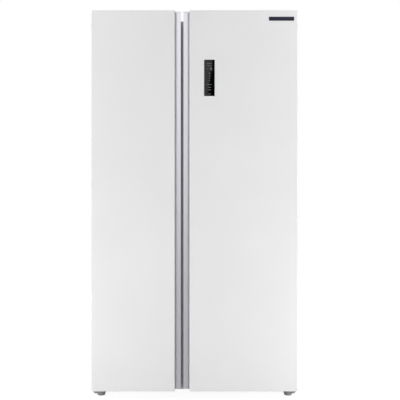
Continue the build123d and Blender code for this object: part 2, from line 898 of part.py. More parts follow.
def fan(radius):
    """Hub with pitched blades about the Z axis, bored for the motor shaft."""
    hub = Cylinder(fan_hub_radius, fan_hub_length, align=BASE)
    reach = radius - fan_hub_radius / 2
    sweep_circle = Cylinder(radius, fan_hub_length, align=BASE)
    for index in range(fan_blade_count):
        blade = Box(reach, fan_blade_chord, fan_blade, align=(Align.MIN, Align.CENTER, Align.CENTER))
        blade = Rot(fan_blade_pitch_angle, 0, 0) * blade
        blade = Pos(fan_hub_radius / 2, 0, fan_hub_length / 2) * blade
        hub += (Rot(0, 0, index * 360 / fan_blade_count) * blade) & sweep_circle
    return hub - Cylinder(shaft_radius + shaft_clearance, fan_hub_length, align=BASE)


def evaporator_fan():
    place = Pos(freezer_middle, evaporator_fan_y, evaporator_fan_z) * Rot(-90, 0, 0)
    return place * fan(evaporator_fan_radius)


def evaporator_motor():
    motor = rod_y(freezer_middle, evaporator_motor_y, inside_back_y, evaporator_fan_z, motor_radius)
    return motor + rod_y(freezer_middle, evaporator_fan_y, evaporator_motor_y, evaporator_fan_z, shaft_radius)


# Machine room

condenser_fan_z = base_top + condenser_fan_radius + motor_length / 2
condenser_motor_x = condenser_fan_x + fan_hub_length + motor_fan_gap
compressor_bottom = base_top + grommet_height
compressor_top = compressor_bottom + compressor_foot + compressor_height


def condenser_fan():
    return Pos(condenser_fan_x, machine_middle_y, condenser_fan_z) * Rot(0, 90, 0) * fan(condenser_fan_radius)


def condenser_motor():
    """Motor with its shaft, on a bracket that stands on the base plate."""
    x1 = condenser_motor_x + motor_length
    motor = rod_x(condenser_motor_x, x1, machine_middle_y, condenser_fan_z, motor_radius)
    motor += rod_x(condenser_fan_x, condenser_motor_x, machine_middle_y, condenser_fan_z, shaft_radius)
    half = motor_bracket_width / 2
    motor += block(x1, x1 + motor_bracket, machine_middle_y - half, machine_middle_y + half,
                   base_top, condenser_fan_z + motor_radius)
    return motor


def compressor():
    """Welded shell on a pressed foot plate."""
    z0 = compressor_bottom + compressor_foot
    shell = post(compressor_x, machine_middle_y, z0, compressor_top, compressor_radius)
    shell = fillet(shell.edges().filter_by(GeomType.CIRCLE), compressor_round)
    half_x = compressor_foot_x / 2
    half_y = compressor_foot_y / 2
    foot = block(compressor_x - half_x, compressor_x + half_x, machine_middle_y - half_y,
                 machine_middle_y + half_y, compressor_bottom, z0)
    return shell + foot


def compressor_grommets():
    half_x = compressor_foot_x / 2 - grommet_inset
    half_y = compressor_foot_y / 2 - grommet_inset
    return [
        post(compressor_x + sx * half_x, machine_middle_y + sy * half_y,
             base_top, compressor_bottom, grommet_radius)
        for sx in (-1, 1)
        for sy in (-1, 1)
    ]


condenser_top = base_top + condenser_lift + (condenser_rows - 1) * condenser_pitch + condenser_stub


def condenser_coil():
    """Layers of serpentine tube held by two end plates that stand on the base plate."""
    right = condenser_left + condenser_length
    bend = condenser_pitch * 0.45
    first_y = machine_middle_y - (condenser_layers - 1) / 2 * condenser_layer_pitch
    z0 = base_top + condenser_lift
    coil = None
    for layer in range(condenser_layers):
        y = first_y + layer * condenser_layer_pitch
        points = [(right, y, condenser_top)]
        for row in range(condenser_rows):
            z = z0 + (condenser_rows - 1 - row) * condenser_pitch
            ends = (right, condenser_left) if row % 2 == 0 else (condenser_left, right)
            points += [(x, y, z) for x in ends]
        layer_tube = tube(points, condenser_tube_radius, bend)
        coil = layer_tube if coil is None else coil + layer_tube
    half = condenser_layer_pitch * condenser_layers / 2
    plate_top = condenser_top - condenser_stub + condenser_tube_radius * 2
    for x in (condenser_left + condenser_pitch, right - condenser_pitch - condenser_end_plate):
        coil += block(x, x + condenser_end_plate, machine_middle_y - half, machine_middle_y + half,
                      base_top, plate_top)
    return coil


def refrigerant_tubes():
    """Discharge tube from the shell to the coil, and suction tube up into the wall."""
    high = (condenser_top + machine_top + compressor_top) / 3 + tube_bend
    start_x = compressor_x - suction_offset
    end_x = condenser_left + condenser_length
    discharge = tube([(start_x, machine_middle_y, compressor_top), (start_x, machine_middle_y, high),
                      (end_x, machine_middle_y, high), (end_x, machine_middle_y, condenser_top)],
                     tube_radius, tube_bend)
    suction = post(compressor_x + suction_offset, machine_middle_y, compressor_top, machine_top, tube_radius)
    return [discharge, suction]


def drain_pan():
    """Tray that takes the defrost water."""
    x0 = -inner_half + cheek + pan_side_gap
    y0 = machine_front_y + pan_side_gap
    y1 = machine_back_y - pan_side_gap
    tray = block(x0, x0 + pan_length, y0, y1, base_top, base_top + pan_height)
    return tray - block(x0 + pan_wall, x0 + pan_length - pan_wall, y0 + pan_wall, y1 - pan_wall,
                        base_top + pan_wall, base_top + pan_height)


def control_box():
    x1 = inner_half - cheek
    body = block(x1 - control_thickness, x1, machine_front_y + pan_side_gap,
                 machine_back_y - pan_side_gap, base_top, base_top + control_height)
    return fillet(body.edges().group_by(Axis.X)[0], sheet * 2)


def machine_cheeks():
    return [
        block(x, x + cheek, machine_front_y, machine_back_y, case_bottom, machine_top)
        for x in (-inner_half, inner_half - cheek)
    ]


def roller_place():
    return half_width - roller_from_side, case_back_y - roller_from_back, roller_radius


def machine_base():
    """Floor of the machine room, slotted over the rear rollers."""
    x, y, z = roller_place()
    plate = block(-inner_half + cheek, inner_half - cheek, machine_front_y, machine_back_y,
                  case_bottom, base_top)
    inside = roller_width / 2 + roller_side_gap
    slot = roller_radius + roller_side_gap
    for middle in (-x, x):
        plate -= block(middle - inside, middle + inside, y - slot, y + slot, case_bottom, base_top)
    return plate


def roller_ears():
    """Welded ears under the base plate that hold the roller axles."""
    x, y, z = roller_place()
    inside = roller_width / 2 + roller_side_gap
    ears = []
    for middle in (-x, x):
        for x0 in (middle - inside - ear_thickness, middle + inside):
            ear = block(x0, x0 + ear_thickness, y - ear_half_length, y + ear_half_length,
                        z - axle_radius * 2, case_bottom)
            ears.append(ear - rod_x(x0, x0 + ear_thickness, y, z, axle_radius))
    return ears


def roller():
    x, y, z = roller_place()
    half = roller_width / 2
    wheel = rod_x(-x - half, -x + half, y, z, roller_radius)
    wheel = fillet(wheel.edges().filter_by(GeomType.CIRCLE), pan_wall)
    return wheel - rod_x(-x - half, -x + half, y, z, axle_radius + axle_clearance)


def roller_axle():
    x, y, z = roller_place()
    half = roller_width / 2 + roller_side_gap + ear_thickness
    return rod_x(-x - half, -x + half, y, z, axle_radius)


def rear_cover():
    """Removable panel over the machine room, with vent slots and the cord inlet's hole."""
    y0 = machine_back_y
    y1 = machine_back_y + sheet
    cover = block(-inner_half, inner_half, y0, y1, case_bottom, machine_top)
    for middle in (-vent_from_middle, vent_from_middle):
        for row in range(vent_rows):
            z = case_bottom + vent_lift + row * vent_pitch
            cover -= block(middle - vent_width / 2, middle + vent_width / 2, y0, y1, z, z + vent_height)
    return cover - rod_y(inlet_x, y0, y1, inlet_z, inlet_body_radius)


def cord_inlet():
    """Bored gland in the rear cover."""
    y0 = machine_back_y + sheet
    gland = rod_y(inlet_x, y0 - inlet_body_length, y0, inlet_z, inlet_body_radius)
    gland += rod_y(inlet_x, y0, y0 + inlet_flange, inlet_z, inlet_flange_radius)
    return gland - rod_y(inlet_x, y0 - inlet_body_length, y0 + inlet_flange, inlet_z, inlet_bore_radius)


# Front rail and feet

rail_front_y = case_front_y + rail_setback
rail_bottom = case_bottom - rail_height
foot_x = half_width - foot_from_side
foot_y = rail_front_y + rail_depth / 2
foot_top = rail_bottom - foot_rail_gap


def front_base_rail():
    """Short rail under the cabinet's front corner that takes a levelling foot."""
    end = -inner_half + rail_length
    rail = block(-inner_half, end, rail_front_y, rail_front_y + rail_depth, rail_bottom, case_bottom)
    return rail - post(-foot_x, foot_y, rail_bottom, case_bottom, stud_radius + stud_clearance)


def levelling_foot():
    """Tapered pad with a stud, turned about its own axis."""
    profile = Polygon(
        (0, 0),
        (foot_tip_radius, 0),
        (foot_tip_radius, foot_tip_height),
        (foot_radius, foot_taper_top),
        (foot_radius, foot_top),
        (stud_radius, foot_top),
        (stud_radius, case_bottom - stud_end_gap),
        (0, case_bottom - stud_end_gap),
    )
    return Pos(-foot_x, foot_y, 0) * revolve(Plane.XZ * profile, Axis.Z)


# Display and badge, drawn on the right door


def display_glass(gap):
    x0 = -half_width + left_door_width + door_gap + display_from_free_edge - gap
    x1 = x0 + display_width + 2 * gap
    z1 = overall_height - display_from_top + gap
    z0 = z1 - display_height - 2 * gap
    glass = block(x0, x1, door_front_y, door_front_y + display_thickness, z0, z1)
    return fillet(glass.edges().filter_by(Axis.Y), display_corner + gap)


def badge_plate():
    x1 = half_width - badge_from_side
    z1 = overall_height - badge_from_top
    plate = block(x1 - badge_width, x1, door_front_y - badge_thickness, door_front_y, z1 - badge_height, z1)
    return fillet(plate.edges().filter_by(Axis.Y), badge_corner)


def write_door(name, width, free_wall, hand, hole):
    """All the pieces of one door; hole is cut from the skin and the foam."""
    save(f"{name}_door_skin", hand(door_skin(width)) - hole)
    save(f"{name}_door_foam", *[hand(slab) - hole for slab in door_foam(width, free_wall)])
    save(f"{name}_door_liner", hand(door_liner(width, free_wall)))
    save(f"{name}_door_caps", *[hand(cap) for cap in door_caps(width)])
    save(f"{name}_handle", hand(door_handle(width)))
    save(f"{name}_gasket", hand(door_gasket(width)))
    save(f"{name}_door_bins", *[hand(shell) for shell in door_bins(width, free_wall)])
    save(f"{name}_door_bushes", *[hand(bush) for bush in door_bushes()])


def write_doors():
    no_hole = Pos(0, 0, -overall_height) * Box(sheet, sheet, sheet)
    freezer_wall = freezer_right + half_width
    fridge_wall = half_width - fridge_left
    write_door("left", left_door_width, freezer_wall, lambda shape: shape, no_hole)
    write_door("right", right_door_width, fridge_wall, right_hand, display_glass(display_gap))
    save("display_panel", display_glass(0))
    save("badge_plate", badge_plate())


def write_hinges():
    save("top_hinges", top_hinge(), right_hand(top_hinge()))
    save("bottom_hinges", bottom_hinge(), right_hand(bottom_hinge()))
    save("hinge_covers", hinge_cover(), right_hand(hinge_cover()))
    screws = hinge_screws()
    save("hinge_screws", *screws, *[right_hand(screw) for screw in screws])


def write_cabinet():
    save("outer_case", outer_case())
    save("back_panel", back_panel())
    save("bottom_panel", bottom_panel())
    save("mullion_strip", mullion_strip())
    save("foam_insulation", *cabinet_foam())
    save("air_sleeve", air_sleeve())
    freezer_rear = evaporator_cover_y
    fridge_rear = inside_back_y - duct_depth
    freezer = (freezer_left, freezer_right, freezer_rear, freezer_shelf_count)
    fridge = (fridge_left, fridge_right, fridge_rear, fridge_shelf_count)
    save("freezer_liner", cabinet_liner(*freezer, freezer_right))
    save("fridge_liner", cabinet_liner(*fridge, fridge_left))
    save("freezer_shelves", *glass_shelves(*freezer))
    save("fridge_shelves", *glass_shelves(*fridge))
    trims = shelf_trims(freezer_left, freezer_right, freezer_shelf_count)
    save("shelf_trims", *trims, *shelf_trims(fridge_left, fridge_right, fridge_shelf_count))
    save("interior_lamps", lamp(freezer_left, freezer_right), lamp(fridge_left, fridge_right))


def write_drawers():
    rails = []
    compartments = (
        ("freezer_drawer", freezer_left, freezer_right, evaporator_cover_y),
        ("crisper_drawer", fridge_left, fridge_right, inside_back_y - duct_depth),
    )
    for name, x0, x1, rear_y in compartments:
        upper_back = rear_y - drawer_back_gap
        lower = (x0, x1, lower_drawer_back, lower_drawer_bottom, lower_drawer_height)
        upper = (x0, x1, upper_back, upper_drawer_bottom, upper_drawer_height)
        save(f"{name}_lower", drawer(*lower))
        save(f"{name}_upper", drawer(*upper))
        rails += runners(*lower) + runners(*upper)
    save("drawer_runners", *rails)


def write_cooling():
    save("evaporator", evaporator())
    save("evaporator_cover", evaporator_cover())
    save("evaporator_fan", evaporator_fan())
    save("fridge_air_duct", air_duct())
    save("fan_motors", evaporator_motor(), condenser_motor())
    save("condenser_fan", condenser_fan())
    save("condenser_coil", condenser_coil())
    save("compressor", compressor())
    save("compressor_grommets", *compressor_grommets())
    save("refrigerant_tubes", *refrigerant_tubes())
    save("drain_pan", drain_pan())
    save("control_box", control_box())


def write_base():
    rail = front_base_rail()
    save("front_base_rail", rail, right_hand(rail))
    save("machine_base_plate", machine_base(), *machine_cheeks(), *roller_ears())
    save("rear_cover", rear_cover())
    save("cord_inlet", cord_inlet())
    save("levelling_foot_left", levelling_foot())
    save("levelling_foot_right", right_hand(levelling_foot()))
    save("rear_roller_left", roller())
    save("rear_roller_right", right_hand(roller()))
    save("roller_axles", roller_axle(), right_hand(roller_axle()))


os.makedirs("parts", exist_ok=True)
write_doors()
write_hinges()
write_cabinet()
write_drawers()
write_cooling()
write_base()
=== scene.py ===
"""Looks of a white side by side refrigerator, built around its frame. Metres, front towards -Y, +Z up."""
import json
import math

import bmesh
import bpy
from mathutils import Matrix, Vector


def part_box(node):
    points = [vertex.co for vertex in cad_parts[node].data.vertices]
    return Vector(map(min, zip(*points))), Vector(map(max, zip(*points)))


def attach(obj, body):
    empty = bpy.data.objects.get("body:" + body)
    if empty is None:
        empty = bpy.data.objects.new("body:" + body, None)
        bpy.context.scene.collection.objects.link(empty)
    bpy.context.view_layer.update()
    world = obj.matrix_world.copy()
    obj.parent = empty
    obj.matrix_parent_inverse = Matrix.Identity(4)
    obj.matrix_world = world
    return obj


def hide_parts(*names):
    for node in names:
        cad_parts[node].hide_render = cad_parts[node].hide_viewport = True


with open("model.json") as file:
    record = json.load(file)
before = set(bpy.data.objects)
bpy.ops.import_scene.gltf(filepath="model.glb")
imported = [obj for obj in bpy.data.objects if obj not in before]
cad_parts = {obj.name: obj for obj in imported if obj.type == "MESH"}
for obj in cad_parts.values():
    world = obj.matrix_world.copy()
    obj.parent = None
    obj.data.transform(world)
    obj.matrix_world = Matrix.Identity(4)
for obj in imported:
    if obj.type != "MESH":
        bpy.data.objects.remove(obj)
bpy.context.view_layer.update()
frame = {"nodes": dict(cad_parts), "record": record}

slot_of = {part["node"]: part["material_slot"] for part in frame["record"]["subparts"]}
body_of = {node: body for body, nodes in frame["record"]["behaviour"]["bodies"].items() for node in nodes}
micron = 0.000001


# Finishes


class Surface:
    """A procedural finish: one shader whose patterns lie in the rest frame, in metres."""

    # Levels of a pattern at which its low and its high value are reached
    pattern_low = 0.3
    pattern_high = 0.7

    def __init__(self, name, **values):
        """Start a finish; each value is named after a socket of the shader, with _ for a space."""
        self.material = bpy.data.materials.new(name)
        self.material.use_nodes = True
        self.nodes = self.material.node_tree.nodes
        self.links = self.material.node_tree.links
        self.shader = self.nodes["Principled BSDF"]
        for words, value in values.items():
            self.shader.inputs[words.replace("_", " ")].default_value = value

    def place(self, stretch=(1, 1, 1)):
        """Position in the rest frame, scaled along each axis."""
        where = self.nodes.new("ShaderNodeTexCoord")
        scale = self.nodes.new("ShaderNodeMapping")
        scale.inputs["Scale"].default_value = stretch
        self.links.new(where.outputs["Object"], scale.inputs["Vector"])
        return scale.outputs["Vector"]

    def noise(self, per_metre, detail=2.0, stretch=(1, 1, 1)):
        """Cloudy pattern with about so many blobs in a metre."""
        node = self.nodes.new("ShaderNodeTexNoise")
        node.inputs["Scale"].default_value = per_metre
        node.inputs["Detail"].default_value = detail
        self.links.new(self.place(stretch), node.inputs["Vector"])
        return node.outputs["Fac"]

    def cells(self, per_metre):
        """Patchy pattern of flat crystals."""
        node = self.nodes.new("ShaderNodeTexVoronoi")
        node.inputs["Scale"].default_value = per_metre
        self.links.new(self.place(), node.inputs["Vector"])
        split = self.nodes.new("ShaderNodeSeparateColor")
        self.links.new(node.outputs["Color"], split.inputs["Color"])
        return split.outputs["Red"]

    def waves(self, per_metre, direction):
        """Even ridges across one axis."""
        node = self.nodes.new("ShaderNodeTexWave")
        node.bands_direction = direction
        node.inputs["Scale"].default_value = per_metre
        self.links.new(self.place(), node.inputs["Vector"])
        return node.outputs["Fac"]

    def colour(self, pattern, low, high):
        """Colour that turns from one tone to another along the pattern."""
        ramp = self.nodes.new("ShaderNodeValToRGB")
        first, last = ramp.color_ramp.elements
        first.position, last.position = self.pattern_low, self.pattern_high
        first.color, last.color = low, high
        self.links.new(pattern, ramp.inputs["Fac"])
        self.links.new(ramp.outputs["Color"], self.shader.inputs["Base Color"])
        return self

    def roughness(self, pattern, low, high):
        """Roughness that turns from one value to another along the pattern."""
        spread = self.nodes.new("ShaderNodeMapRange")
        spread.inputs["From Min"].default_value = self.pattern_low
        spread.inputs["From Max"].default_value = self.pattern_high
        spread.inputs["To Min"].default_value = low
        spread.inputs["To Max"].default_value = high
        self.links.new(pattern, spread.inputs["Value"])
        self.links.new(spread.outputs["Result"], self.shader.inputs["Roughness"])
        return self

    def bump(self, pattern, height):
        """Relief of the given height in metres."""
        node = self.nodes.new("ShaderNodeBump")
        node.inputs["Strength"].default_value = 1.0
        node.inputs["Distance"].default_value = height
        self.links.new(pattern, node.inputs["Height"])
        self.links.new(node.outputs["Normal"], self.shader.inputs["Normal"])
        return self


def tone(red, green, blue):
    """Shader colour of a tone as a screen shows it, 0 to 255, by the usual screen curve."""
    def level(value):
        share = value / 255
        return share / 12.92 if share <= 0.04045 else ((share + 0.055) / 1.055) ** 2.4
    return (level(red), level(green), level(blue), 1.0)


def white_enamel():
    surface = Surface("white_enamel", IOR=1.5, Coat_Weight=0.25, Coat_Roughness=0.15)
    surface.colour(surface.noise(3.0), tone(236, 236, 236), tone(239, 239, 239))
    surface.roughness(surface.noise(40.0), 0.34, 0.42)
    return surface.bump(surface.noise(700.0, detail=1.0), 6 * micron)


def satin_aluminium():
    surface = Surface("satin_aluminium", Metallic=1.0)
    brushed = surface.noise(2500.0, detail=3.0, stretch=(1, 1, 0.004))
    surface.colour(brushed, tone(236, 236, 243), tone(246, 246, 251))
    surface.roughness(surface.noise(900.0, detail=2.0, stretch=(1, 1, 0.01)), 0.27, 0.36)
    return surface.bump(brushed, 3 * micron)


def white_plastic():
    surface = Surface("white_plastic", IOR=1.48)
    surface.colour(surface.noise(25.0), tone(232, 232, 234), tone(238, 238, 239))
    surface.roughness(surface.noise(60.0), 0.42, 0.52)
    return surface.bump(surface.noise(2200.0, detail=1.0), 10 * micron)


def liner_white():
    surface = Surface("liner_white", IOR=1.52)
    surface.colour(surface.noise(4.0), tone(234, 236, 238), tone(239, 240, 242))
    surface.roughness(surface.noise(30.0), 0.28, 0.36)
    return surface.bump(surface.noise(90.0, detail=1.0), 10 * micron)


def foam():
    surface = Surface("foam", Roughness=0.9)
    surface.colour(surface.noise(180.0, detail=4.0), tone(222, 205, 160), tone(238, 224, 186))
    return surface.bump(surface.noise(420.0, detail=3.0), 600 * micron)


def gasket_grey():
    surface = Surface("gasket_grey", IOR=1.5)
    surface.colour(surface.noise(35.0), tone(168, 169, 173), tone(180, 181, 185))
    surface.roughness(surface.noise(120.0), 0.5, 0.62)
    return surface.bump(surface.noise(1500.0), 20 * micron)


def shelf_glass():
    surface = Surface("shelf_glass", IOR=1.5, Transmission_Weight=1.0, Alpha=0.45)
    surface.colour(surface.noise(6.0), tone(232, 246, 241), tone(238, 250, 246))
    return surface.roughness(surface.noise(14.0, detail=4.0), 0.01, 0.05)


def clear_plastic():
    surface = Surface("clear_plastic", IOR=1.49, Transmission_Weight=0.85, Alpha=0.5)
    surface.colour(surface.noise(8.0), tone(240, 246, 250), tone(246, 250, 252))
    surface.roughness(surface.noise(20.0, detail=3.0), 0.06, 0.13)
    return surface.bump(surface.noise(60.0), 40 * micron)


def black_glass():
    surface = Surface("black_glass", IOR=1.5)
    surface.colour(surface.noise(9.0), tone(3, 3, 4), tone(6, 6, 7))
    return surface.roughness(surface.noise(22.0, detail=4.0), 0.015, 0.05)


def badge_dark():
    surface = Surface("badge_dark", Metallic=0.5, IOR=1.5)
    brushed = surface.noise(3000.0, detail=2.0, stretch=(0.01, 1, 1))
    surface.colour(brushed, tone(28, 30, 46), tone(40, 42, 60))
    surface.roughness(surface.noise(50.0), 0.3, 0.4)
    return surface.bump(brushed, 4 * micron)


def hinge_steel():
    surface = Surface("hinge_steel", Metallic=0.5)
    surface.colour(surface.noise(45.0, detail=4.0), tone(166, 166, 169), tone(184, 184, 187))
    surface.roughness(surface.noise(80.0, detail=3.0), 0.36, 0.52)
    return surface.bump(surface.noise(900.0), 20 * micron)


def grip_hollow_painted_shade():
    """Painted shade: a darker metal in the hollow behind the lip of each grip, standing in for the shade
    that the lip casts.
    """
    surface = Surface("grip_hollow_painted_shade", Metallic=1.0)
    drawn = surface.noise(1800.0, detail=2.0, stretch=(1, 1, 0.005))
    # Tones darker than the bright grip metal: painted shade under the lip
    surface.colour(drawn, tone(222, 222, 224), tone(234, 234, 236))
    return surface.roughness(surface.noise(60.0), 0.3, 0.38)


def display_light():
    """Grey marks of the display, with a trace of light."""
    surface = Surface("display_light", Emission_Color=tone(214, 222, 228), Emission_Strength=0.02)
    surface.colour(surface.noise(300.0), tone(96, 98, 100), tone(112, 114, 116))
    return surface.roughness(surface.noise(200.0), 0.4, 0.5)


def strip_paint():
    """Pale paint of the strip between the door openings and of the bottom panel."""
    surface = Surface("strip_paint", IOR=1.5, Coat_Weight=0.8, Coat_Roughness=0.25)
    surface.colour(surface.noise(30.0), tone(230, 229, 238), tone(238, 237, 246))
    surface.roughness(surface.noise(70.0), 0.4, 0.5)
    return surface.bump(surface.noise(800.0), 8 * micron)


def zinc_steel():
    surface = Surface("zinc_steel", Metallic=0.8)
    surface.colour(surface.cells(140.0), tone(210, 212, 215), tone(217, 219, 222))
    surface.roughness(surface.noise(90.0, detail=4.0), 0.4, 0.5)
    return surface.bump(surface.noise(500.0), 4 * micron)


def grey_plastic():
    surface = Surface("grey_plastic", IOR=1.48)
    surface.colour(surface.noise(90.0, detail=3.0), tone(149, 152, 152), tone(164, 167, 167))
    surface.roughness(surface.noise(150.0), 0.42, 0.56)
    return surface.bump(surface.noise(1800.0, detail=1.0), 30 * micron)


def black_plastic():
    surface = Surface("black_plastic", IOR=1.48)
    surface.colour(surface.noise(60.0, detail=3.0), tone(24, 24, 26), tone(34, 34, 36))
    surface.roughness(surface.noise(120.0), 0.42, 0.58)
    return surface.bump(surface.noise(1600.0, detail=1.0), 30 * micron)


def black_steel():
    surface = Surface("black_steel", IOR=1.5, Coat_Weight=0.3, Coat_Roughness=0.2)
    surface.colour(surface.noise(40.0, detail=4.0), tone(20, 20, 22), tone(32, 32, 33))
    surface.roughness(surface.noise(70.0, detail=3.0), 0.32, 0.5)
    return surface.bump(surface.noise(600.0), 30 * micron)


def copper():
    surface = Surface("copper", Metallic=1.0)
    surface.colour(surface.noise(55.0, detail=5.0), tone(142, 84, 58), tone(208, 138, 102))
    surface.roughness(surface.noise(90.0, detail=4.0), 0.24, 0.46)
    return surface.bump(surface.noise(700.0), 10 * micron)


def fin_aluminium():
    surface = Surface("fin_aluminium", Metallic=1.0)
    surface.colour(surface.noise(60.0, detail=3.0), tone(196, 199, 203), tone(220, 222, 225))
    surface.roughness(surface.noise(110.0), 0.28, 0.44)
    return surface.bump(surface.noise(900.0), 10 * micron)


def rubber_black():
    surface = Surface("rubber_black", IOR=1.5)
    surface.colour(surface.noise(80.0), tone(22, 22, 22), tone(36, 35, 35))
    surface.roughness(surface.noise(200.0), 0.66, 0.82)
    return surface.bump(surface.noise(1400.0), 50 * micron)


def lamp_diffuser():
    surface = Surface("lamp_diffuser", IOR=1.49, Emission_Strength=26.0, Emission_Color=tone(255, 250, 240))
    surface.colour(surface.noise(30.0), tone(240, 240, 236), tone(248, 248, 245))
    surface.roughness(surface.noise(80.0), 0.3, 0.42)
    return surface.bump(surface.waves(60.0, "X"), 300 * micron)


def polymer_bush():
    surface = Surface("polymer_bush", IOR=1.5)
    surface.colour(surface.noise(70.0), tone(214, 210, 200), tone(226, 223, 214))
    surface.roughness(surface.noise(120.0), 0.36, 0.48)
    return surface.bump(surface.noise(1200.0), 20 * micron)


finish_makers = (
    white_enamel, satin_aluminium, white_plastic, liner_white, foam, gasket_grey, shelf_glass,
    clear_plastic, black_glass, badge_dark, hinge_steel, zinc_steel, grey_plastic, black_plastic,
    black_steel, copper, fin_aluminium, rubber_black, lamp_diffuser, polymer_bush, strip_paint,
    grip_hollow_painted_shade, display_light,
)
finishes = {maker.__name__: maker().material for maker in finish_makers}


def coat_frame():
    """Give every node of the frame the finish of its slot, apart from two that are painted."""
    painted = {"mullion_strip": "strip_paint", "bottom_panel": "strip_paint"}
    for node, thing in frame["nodes"].items():
        finish = finishes[painted.get(node, slot_of[node])]
        thing.data.materials.clear()
        thing.data.materials.append(finish)


coat_frame()


# Shapes

# Faces that meet at more than this angle, in degrees, keep a sharp edge
sharp_angle = 35


def mesh_of(name, shape, smooth_angle):
    """Turn a worked shape into a mesh, smooth where its faces meet at a low angle."""
    mesh = bpy.data.meshes.new(name)
    bmesh.ops.recalc_face_normals(shape, faces=shape.faces)
    shape.to_mesh(mesh)
    shape.free()
    stale_normals = mesh.attributes.get("custom_normal")
    if stale_normals:
        mesh.attributes.remove(stale_normals)
    mesh.shade_smooth()
    mesh.set_sharp_from_angle(angle=math.radians(smooth_angle))
    return mesh


def add_piece(name, shape, node, slot, finish=None, smooth_angle=sharp_angle):
    """Put a worked shape into the scene as a piece that moves with the node's body."""
    mesh = mesh_of(name, shape, smooth_angle)
    mesh.materials.append(finishes[finish or slot])
    thing = bpy.data.objects.new(name, mesh)
    bpy.context.scene.collection.objects.link(thing)
    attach(thing, body_of[node])
    return thing


def ease(thing, width, segments=3):
    """Round the sharp edges of a piece."""
    bevel = thing.modifiers.new("eased_edges", "BEVEL")
    bevel.width = width
    bevel.segments = segments
    bevel.limit_method = "ANGLE"
    bevel.angle_limit = math.radians(sharp_angle)
    bevel.harden_normals = True


def node_shape(node):
    """The node's own form, with its flat faces joined up again."""
    flat_angle = math.radians(0.5)
    shape = bmesh.new()
    shape.from_mesh(frame["nodes"][node].data)
    bmesh.ops.remove_doubles(shape, verts=shape.verts, dist=micron)
    bmesh.ops.dissolve_limit(shape, angle_limit=flat_angle, verts=shape.verts, edges=shape.edges)
    return shape


def dress(node, width, segments=3):
    """Stand the node's form, with eased edges, in the node's place."""
    piece = add_piece(node + ".eased", node_shape(node), node, slot_of[node])
    ease(piece, width, segments)
    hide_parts(node)


def bridge(shape, ring, next_ring):
    """Join two closed rings of as many points with a band of faces."""
    count = len(ring)
    for step in range(count):
        after = (step + 1) % count
        shape.faces.new((ring[step], ring[after], next_ring[after], next_ring[step]))


def turned(rows, steps, lobes):
    """Turn rows of (radius, height, swing) about Z; with a swing, the radius rises and falls in lobes."""
    shape = bmesh.new()
    rings = []
    for radius, height, swing in rows:
        ring = []
        for step in range(steps):
            angle = 2 * math.pi * step / steps
            reach = radius * (1 + swing * math.cos(lobes * angle))
            ring.append(shape.verts.new((reach * math.cos(angle), reach * math.sin(angle), height)))
        rings.append(ring)
    for low, high in zip(rings, rings[1:]):
        bridge(shape, low, high)
    shape.faces.new(rings[0][::-1])
    shape.faces.new(rings[-1])
    return shape


def drawn_along_x(outline, x0, x1):
    """Draw a (y, z) outline along X."""
    shape = bmesh.new()
    near, far = ([shape.verts.new((x, y, z)) for y, z in outline] for x in (x0, x1))
    bridge(shape, near, far)
    shape.faces.new(near[::-1])
    shape.faces.new(far)
    return shape


def plate(shape, outline, y0, y1):
    """Add a plate with an (x, z) outline between two depths."""
    near, far = ([shape.verts.new((x, y, z)) for x, z in outline] for y in (y0, y1))
    bridge(shape, near, far)
    shape.faces.new(near)
    shape.faces.new(far[::-1])


def rectangle(low_across, high_across, low_up, high_up):
    """Corners of a rectangle, each as (across, up)."""
    return [
        (low_across, low_up), (high_across, low_up), (high_across, high_up), (low_across, high_up),
    ]


def rounded_outline(x0, x1, z0, z1, radius):
    """Points (x, z) round a rectangle with round corners."""
    steps = 5
    left, right, bottom, top = x0 + radius, x1 - radius, z0 + radius, z1 - radius
    centres = ((right, top), (left, top), (left, bottom), (right, bottom))
    points = []
    for quarter, (x, z) in enumerate(centres):
        for step in range(steps + 1):
            angle = math.pi / 2 * (quarter + step / steps)
            points.append((x + radius * math.cos(angle), z + radius * math.sin(angle)))
    return points


# Doors


def build_grips():
    """Extruded grips: bright where the door is open, with painted shade, a darker metal, in the hollow
    behind the lip.
    """
    for side, hand in (("left", -1), ("right", 1)):
        node = f"{side}_handle"
        skin_low, skin_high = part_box(f"{side}_door_skin")
        lip_x = skin_high.x if side == "left" else skin_low.x
        piece = add_piece(node + ".with_painted_shade", node_shape(node), node, slot_of[node])
        piece.data.materials.append(finishes["grip_hollow_painted_shade"])
        # Faces behind the lip take the darker metal: painted shade under the lip
        for face in piece.data.polygons:
            face.material_index = int(hand * (face.center.x - lip_x) > 0.0)
        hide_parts(node)


def build_gaskets():
    """Magnetic seals with a folded bellows between their base and their bulb."""
    strip_width = 0.016
    fold_angle = 50
    # Outer half of the section: shares of the strip's width and of its depth
    outer_half = [
        (0.0, 0.0), (0.0, 0.20), (0.09, 0.26), (0.22, 0.31), (0.27, 0.38), (0.27, 0.47),
        (0.13, 0.55), (0.06, 0.64), (0.06, 0.88), (0.10, 0.96), (0.16, 1.0),
    ]
    section = outer_half + [(1 - across, along) for across, along in reversed(outer_half)]
    for side in ("left", "right"):
        node = f"{side}_gasket"
        low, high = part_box(node)
        depth = high.y - low.y
        shape = bmesh.new()
        loops = []
        for across, along in section:
            inset = across * strip_width
            y = low.y + along * depth
            corners = rectangle(low.x + inset, high.x - inset, low.z + inset, high.z - inset)
            loops.append([shape.verts.new((x, y, z)) for x, z in corners])
        for loop, following in zip(loops, loops[1:] + loops[:1]):
            bridge(shape, loop, following)
        piece = add_piece(node + ".bellows", shape, node, slot_of[node], smooth_angle=fold_angle)
        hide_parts(node)


